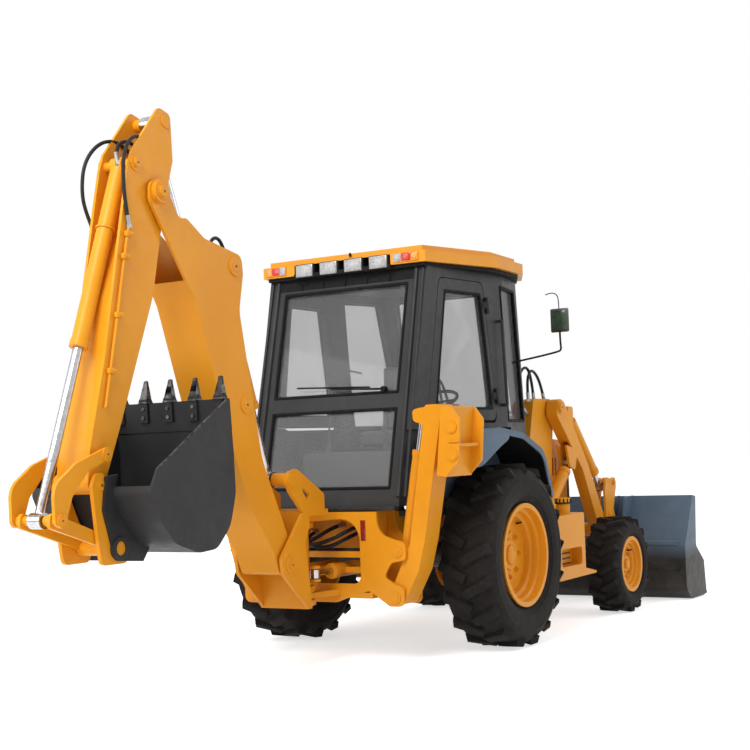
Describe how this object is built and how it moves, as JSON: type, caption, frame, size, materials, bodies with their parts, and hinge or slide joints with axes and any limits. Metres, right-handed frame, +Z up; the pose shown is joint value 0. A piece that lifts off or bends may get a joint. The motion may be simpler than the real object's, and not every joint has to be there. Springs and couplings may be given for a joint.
{
  "type": "backhoe loader",
  "caption": "Wheeled backhoe loader with a glazed cab, front loader bucket, rear digging arm and bucket, and two folding stabilisers.",
  "frame": {"origin": "on the ground at the middle of the machine's length and width", "axes": "+X forward to the loader bucket, +Y to the left, +Z up"},
  "size_m": [7.592, 2.38, 3.5947],
  "materials": {
    "tyre_rubber": "matt",
    "yellow_paint": "satin",
    "black_paint": "satin",
    "tinted_glass": "gloss",
    "grey_plastic": "matt",
    "slate_paint": "satin",
    "charcoal_paint": "satin",
    "chrome_rod": "gloss",
    "dark_steel": "satin"
  },
  "bodies": {
    "chassis": {"cab_frame": "black_paint", "cab_glass": "tinted_glass", "cab_roof": "yellow_paint", "control_console": "grey_plastic", "engine_block": "dark_steel", "front_axle": "dark_steel", "loader_towers": "yellow_paint", "main_frame": "yellow_paint", "mirrors": "black_paint", "operator_seat": "grey_plastic", "rear_axle": "dark_steel", "rear_fenders": "slate_paint", "rear_frame": "yellow_paint", "side_tanks": "yellow_paint"},
    "rear_left_wheel": {"rear_left_tyre": "tyre_rubber", "rear_left_rim": "yellow_paint"},
    "front_left_wheel": {"front_left_tyre": "tyre_rubber", "front_left_rim": "yellow_paint"},
    "left_knuckle": {"left_knuckle": "dark_steel"},
    "left_door": {"left_door": "black_paint"},
    "left_stabiliser": {"left_stabiliser": "yellow_paint"},
    "left_stabiliser_barrel": {"left_stabiliser_barrel": "yellow_paint"},
    "left_stabiliser_rod": {"left_stabiliser_rod": "chrome_rod"},
    "swing_rod_left": {"swing_rod_left": "chrome_rod"},
    "rear_right_wheel": {"rear_right_tyre": "tyre_rubber", "rear_right_rim": "yellow_paint"},
    "front_right_wheel": {"front_right_tyre": "tyre_rubber", "front_right_rim": "yellow_paint"},
    "right_knuckle": {"right_knuckle": "dark_steel"},
    "right_door": {"right_door": "black_paint"},
    "right_stabiliser": {"right_stabiliser": "yellow_paint"},
    "right_stabiliser_barrel": {"right_stabiliser_barrel": "yellow_paint"},
    "right_stabiliser_rod": {"right_stabiliser_rod": "chrome_rod"},
    "swing_rod_right": {"swing_rod_right": "chrome_rod"},
    "loader_arms": {"loader_arms": "yellow_paint"},
    "lift_barrels": {"lift_barrels": "yellow_paint"},
    "lift_rods": {"lift_rods": "chrome_rod"},
    "tilt_levers": {"tilt_levers": "yellow_paint"},
    "tilt_links": {"tilt_links": "yellow_paint"},
    "tilt_barrels": {"tilt_barrels": "yellow_paint"},
    "tilt_rods": {"tilt_rods": "chrome_rod"},
    "loader_bucket": {"loader_bucket": "slate_paint"},
    "swing_post": {"swing_post": "yellow_paint"},
    "boom": {"boom": "yellow_paint"},
    "boom_barrel": {"boom_barrel": "yellow_paint"},
    "boom_rod": {"boom_rod": "chrome_rod"},
    "dipper": {"dipper": "yellow_paint"},
    "dipper_barrel": {"dipper_barrel": "yellow_paint"},
    "dipper_rod": {"dipper_rod": "chrome_rod"},
    "guide_links": {"guide_links": "yellow_paint"},
    "bucket_link": {"bucket_link": "yellow_paint"},
    "bucket_barrel": {"bucket_barrel": "yellow_paint"},
    "bucket_rod": {"bucket_rod": "chrome_rod"},
    "digging_bucket": {"digging_bucket": "charcoal_paint", "quick_hitch": "yellow_paint"},
    "engine_hood": {"engine_hood": "yellow_paint", "front_grille": "black_paint"}
  },
  "joints": [
    {"name": "rear_left_wheel_spin", "type": "hinge", "parent": "chassis", "child": "rear_left_wheel", "pos_m": [0.14, 0.903, 0.671], "axis": [0, 1, 0], "continuous": true},
    {"name": "left_steering", "type": "hinge", "parent": "chassis", "child": "left_knuckle", "pos_m": [2.367, 0.69, 0.412], "axis": [0, 0, 1], "range_deg": [-35, 35]},
    {"name": "front_left_wheel_spin", "type": "hinge", "parent": "left_knuckle", "child": "front_left_wheel", "pos_m": [2.367, 0.894, 0.412], "axis": [0, 1, 0], "continuous": true},
    {"name": "rear_right_wheel_spin", "type": "hinge", "parent": "chassis", "child": "rear_right_wheel", "pos_m": [0.14, -0.903, 0.671], "axis": [0, 1, 0], "continuous": true},
    {"name": "right_steering", "type": "hinge", "parent": "chassis", "child": "right_knuckle", "pos_m": [2.367, -0.69, 0.412], "axis": [0, 0, 1], "range_deg": [-35, 35]},
    {"name": "front_right_wheel_spin", "type": "hinge", "parent": "right_knuckle", "child": "front_right_wheel", "pos_m": [2.367, -0.894, 0.412], "axis": [0, 1, 0], "continuous": true},
    {"name": "left_door_hinge", "type": "hinge", "parent": "chassis", "child": "left_door", "pos_m": [0.491, 0.745, 1.74], "axis": [0.1558, 0, -0.9878], "range_deg": [0, 80]},
    {"name": "right_door_hinge", "type": "hinge", "parent": "chassis", "child": "right_door", "pos_m": [0.491, -0.745, 1.74], "axis": [-0.1558, 0, 0.9878], "range_deg": [0, 80]},
    {"name": "hood_hinge", "type": "hinge", "parent": "chassis", "child": "engine_hood", "pos_m": [1.535, 0, 1.575], "axis": [0, -1, 0], "range_deg": [0, 50]},
    {"name": "arm_lift", "type": "hinge", "parent": "chassis", "child": "loader_arms", "pos_m": [1.97, 0, 1.77], "axis": [0, -1, 0], "range_deg": [0, 100]},
    {"name": "lift_barrel_swing", "type": "hinge", "parent": "chassis", "child": "lift_barrels", "pos_m": [1.39, 0, 0.62], "axis": [0, -1, 0], "range_deg": [-0.05, 15.12]},
    {"name": "lift_rod_slide", "type": "slide", "parent": "lift_barrels", "child": "lift_rods", "axis": [0.7666, 0, 0.6421], "range_m": [-0.0005, 0.72667]},
    {"name": "bucket_tilt", "type": "hinge", "parent": "loader_arms", "child": "loader_bucket", "pos_m": [3.14, 0, 0.29], "axis": [0, 1, 0], "range_deg": [-25, 70]},
    {"name": "lever_swing", "type": "hinge", "parent": "loader_arms", "child": "tilt_levers", "pos_m": [2.9, 0, 0.8], "axis": [0, 1, 0], "range_deg": [-28.65, 80.12]},
    {"name": "link_swing", "type": "hinge", "parent": "tilt_levers", "child": "tilt_links", "pos_m": [3.03, 0, 1.09], "axis": [0, 1, 0], "range_deg": [-92.47, 33.06]},
    {"name": "tilt_barrel_swing", "type": "hinge", "parent": "loader_arms", "child": "tilt_barrels", "pos_m": [2.2, 0, 1.74], "axis": [0, 1, 0], "range_deg": [-2.47, 0.91]},
    {"name": "tilt_rod_slide", "type": "slide", "parent": "tilt_barrels", "child": "tilt_rods", "axis": [0.7071, 0, -0.7071], "range_m": [-0.11913, 0.33266]},
    {"name": "swing", "type": "hinge", "parent": "chassis", "child": "swing_post", "pos_m": [-1.18, 0, 1], "axis": [0, 0, 1], "range_deg": [-90, 90]},
    {"name": "swing_rod_left_slide", "type": "slide", "parent": "chassis", "child": "swing_rod_left", "axis": [-1, 0, 0], "range_m": [-0.1105, 0.1105]},
    {"name": "swing_rod_right_slide", "type": "slide", "parent": "chassis", "child": "swing_rod_right", "axis": [1, 0, 0], "range_m": [-0.1105, 0.1105]},
    {"name": "boom_lower", "type": "hinge", "parent": "swing_post", "child": "boom", "pos_m": [-1.584, 0, 0.738], "axis": [0, -1, 0], "range_deg": [0, 85]},
    {"name": "boom_barrel_swing", "type": "hinge", "parent": "boom", "child": "boom_barrel", "pos_m": [-2.037, 0, 2.686], "axis": [0, -1, 0], "range_deg": [-0.05, 8.44]},
    {"name": "boom_rod_slide", "type": "slide", "parent": "boom_barrel", "child": "boom_rod", "axis": [0.3319, 0, -0.9433], "range_m": [-0.0005, 0.71766]},
    {"name": "dipper_open", "type": "hinge", "parent": "boom", "child": "dipper", "pos_m": [-2.778, 0, 3.072], "axis": [0, 1, 0], "range_deg": [0, 110]},
    {"name": "dipper_barrel_swing", "type": "hinge", "parent": "boom", "child": "dipper_barrel", "pos_m": [-1.97, 0, 1.8], "axis": [0, 1, 0], "range_deg": [-1.67, 0.05]},
    {"name": "dipper_rod_slide", "type": "slide", "parent": "dipper_barrel", "child": "dipper_rod", "axis": [-0.3676, 0, 0.93], "range_m": [-0.76706, 0.0005]},
    {"name": "bucket_curl", "type": "hinge", "parent": "dipper", "child": "digging_bucket", "pos_m": [-3.384, 0, 1.342], "axis": [0, 1, 0], "range_deg": [0, 140]},
    {"name": "guide_swing", "type": "hinge", "parent": "dipper", "child": "guide_links", "pos_m": [-3.348, 0, 1.515], "axis": [0, 1, 0], "range_deg": [-0.05, 113.8]},
    {"name": "bucket_link_swing", "type": "hinge", "parent": "guide_links", "child": "bucket_link", "pos_m": [-3.732, 0, 1.164], "axis": [0, 1, 0], "range_deg": [-22.75, 0.05]},
    {"name": "bucket_barrel_swing", "type": "hinge", "parent": "dipper", "child": "bucket_barrel", "pos_m": [-2.943, 0, 3.229], "axis": [0, 1, 0], "range_deg": [-0.05, 4.22]},
    {"name": "bucket_rod_slide", "type": "slide", "parent": "bucket_barrel", "child": "bucket_rod", "axis": [-0.3569, 0, -0.9341], "range_m": [-0.8628, 0.0005]},
    {"name": "left_stabiliser_lower", "type": "hinge", "parent": "chassis", "child": "left_stabiliser", "pos_m": [-0.8, 0.6, 0.46], "axis": [-1, 0, 0], "range_deg": [0, 95]},
    {"name": "left_stabiliser_barrel_swing", "type": "hinge", "parent": "chassis", "child": "left_stabiliser_barrel", "pos_m": [-0.8, 0.63, 0.775], "axis": [-1, 0, 0], "range_deg": [-0.05, 107.29]},
    {"name": "left_stabiliser_rod_slide", "type": "slide", "parent": "left_stabiliser_barrel", "child": "left_stabiliser_rod", "axis": [0, 0.1808, 0.9835], "range_m": [-0.0005, 0.401]},
    {"name": "right_stabiliser_lower", "type": "hinge", "parent": "chassis", "child": "right_stabiliser", "pos_m": [-0.8, -0.6, 0.46], "axis": [1, 0, 0], "range_deg": [0, 95]},
    {"name": "right_stabiliser_barrel_swing", "type": "hinge", "parent": "chassis", "child": "right_stabiliser_barrel", "pos_m": [-0.8, -0.63, 0.775], "axis": [1, 0, 0], "range_deg": [-0.05, 107.29]},
    {"name": "right_stabiliser_rod_slide", "type": "slide", "parent": "right_stabiliser_barrel", "child": "right_stabiliser_rod", "axis": [0, -0.1808, 0.9835], "range_m": [-0.0005, 0.401]}
  ],
  "couplings": [
    {"joint": "right_steering", "follows": "left_steering", "ratio": 1},
    {"joint": "lift_barrel_swing", "follows": "arm_lift", "ratio": 0.15075},
    {"joint": "lift_rod_slide", "follows": "arm_lift", "m_per_rad": 0.41606},
    {"joint": "lever_swing", "follows": "bucket_tilt", "ratio": 1.1439},
    {"joint": "link_swing", "follows": "bucket_tilt", "ratio": -1.3202},
    {"joint": "tilt_barrel_swing", "follows": "bucket_tilt", "ratio": -0.03454},
    {"joint": "tilt_rod_slide", "follows": "bucket_tilt", "m_per_rad": 0.27188},
    {"joint": "swing_rod_left_slide", "follows": "swing", "m_per_rad": 0.07003},
    {"joint": "swing_rod_right_slide", "follows": "swing", "m_per_rad": 0.07003},
    {"joint": "boom_barrel_swing", "follows": "boom_lower", "ratio": 0.09867},
    {"joint": "boom_rod_slide", "follows": "boom_lower", "m_per_rad": 0.48341},
    {"joint": "dipper_barrel_swing", "follows": "dipper_open", "ratio": -0.01473},
    {"joint": "dipper_rod_slide", "follows": "dipper_open", "m_per_rad": -0.39928},
    {"joint": "guide_swing", "follows": "bucket_curl", "ratio": 0.81253},
    {"joint": "bucket_link_swing", "follows": "bucket_curl", "ratio": -0.16215},
    {"joint": "bucket_barrel_swing", "follows": "bucket_curl", "ratio": 0.0298},
    {"joint": "bucket_rod_slide", "follows": "bucket_curl", "m_per_rad": -0.3529},
    {"joint": "left_stabiliser_barrel_swing", "follows": "left_stabiliser_lower", "ratio": 1.1288},
    {"joint": "left_stabiliser_rod_slide", "follows": "left_stabiliser_lower", "m_per_rad": 0.24155},
    {"joint": "right_stabiliser_barrel_swing", "follows": "right_stabiliser_lower", "ratio": 1.1288},
    {"joint": "right_stabiliser_rod_slide", "follows": "right_stabiliser_lower", "m_per_rad": 0.24155}
  ]
}
